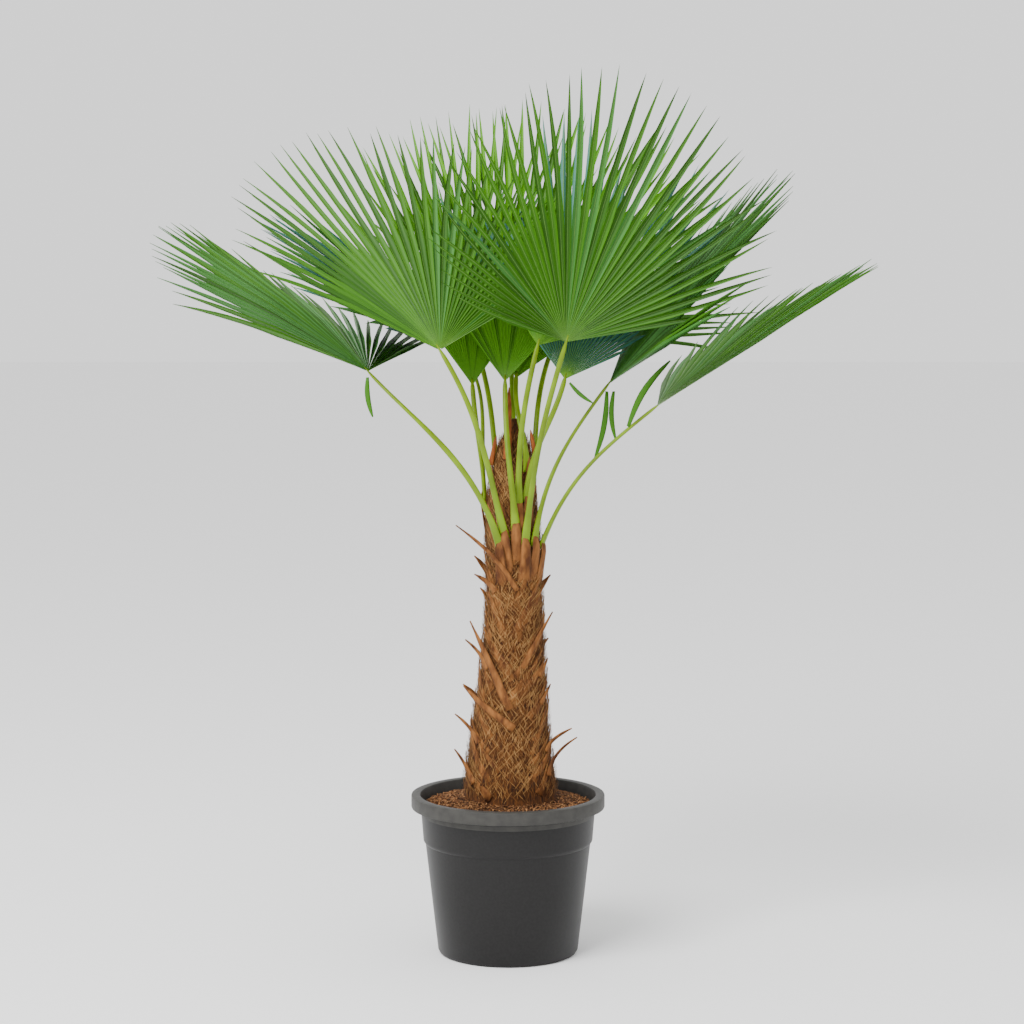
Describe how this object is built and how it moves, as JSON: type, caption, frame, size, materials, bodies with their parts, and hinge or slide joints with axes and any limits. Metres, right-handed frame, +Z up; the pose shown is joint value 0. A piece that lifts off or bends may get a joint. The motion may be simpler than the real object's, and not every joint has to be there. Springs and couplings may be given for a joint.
{
  "type": "windmill palm in a nursery pot",
  "caption": "Potted fan palm with a shaggy tapering trunk, arching stalks and round pleated fan leaves above a rimmed nursery pot.",
  "frame": {"origin": "centre of the flat underside of the pot", "axes": "+Z up along the trunk, the reference view looks along +Y with +X to the right"},
  "size_m": [1.2355, 0.9978, 1.5413],
  "materials": {
    "pot_plastic": "moulded matte",
    "coir": "shredded bark and coir",
    "trunk_fibre": "matted fibre",
    "old_leaf_base": "dry leaf base",
    "leaf_stalk": "satin green",
    "leaf_blade": "pleated satin leaf"
  },
  "bodies": {
    "root": {"frond_01_blade": "leaf_blade", "frond_01_stalk": "leaf_stalk", "frond_02_blade": "leaf_blade", "frond_02_stalk": "leaf_stalk", "frond_03_blade": "leaf_blade", "frond_03_stalk": "leaf_stalk", "frond_04_blade": "leaf_blade", "frond_04_stalk": "leaf_stalk", "frond_05_blade": "leaf_blade", "frond_05_stalk": "leaf_stalk", "frond_06_blade": "leaf_blade", "frond_06_stalk": "leaf_stalk", "frond_07_blade": "leaf_blade", "frond_07_stalk": "leaf_stalk", "frond_08_blade": "leaf_blade", "frond_08_stalk": "leaf_stalk", "frond_09_blade": "leaf_blade", "frond_09_stalk": "leaf_stalk", "frond_10_blade": "leaf_blade", "frond_10_stalk": "leaf_stalk", "frond_11_blade": "leaf_blade", "frond_11_stalk": "leaf_stalk", "frond_12_blade": "leaf_blade", "frond_12_stalk": "leaf_stalk", "frond_13_blade": "leaf_blade", "frond_13_stalk": "leaf_stalk", "frond_14_blade": "leaf_blade", "frond_14_stalk": "leaf_stalk", "leaflet_01": "leaf_blade", "leaflet_08_long": "leaf_blade", "leaflet_08_short": "leaf_blade", "leaflet_09": "leaf_blade", "leaflet_10": "leaf_blade", "pot": "pot_plastic", "sheath_left": "old_leaf_base", "sheath_right": "old_leaf_base", "sheath_spear": "old_leaf_base", "stump_01": "old_leaf_base", "stump_02": "old_leaf_base", "stump_03": "old_leaf_base", "stump_04": "old_leaf_base", "stump_05": "old_leaf_base", "stump_06": "old_leaf_base", "stump_07": "old_leaf_base", "stump_08": "old_leaf_base", "stump_09": "old_leaf_base", "stump_10": "old_leaf_base", "stump_11": "old_leaf_base", "stump_12": "old_leaf_base", "stump_13": "old_leaf_base", "stump_14": "old_leaf_base", "stump_15": "old_leaf_base", "stump_16": "old_leaf_base", "stump_17": "old_leaf_base", "stump_18": "old_leaf_base", "substrate": "coir", "trunk": "trunk_fibre"}
  },
  "joints": []
}
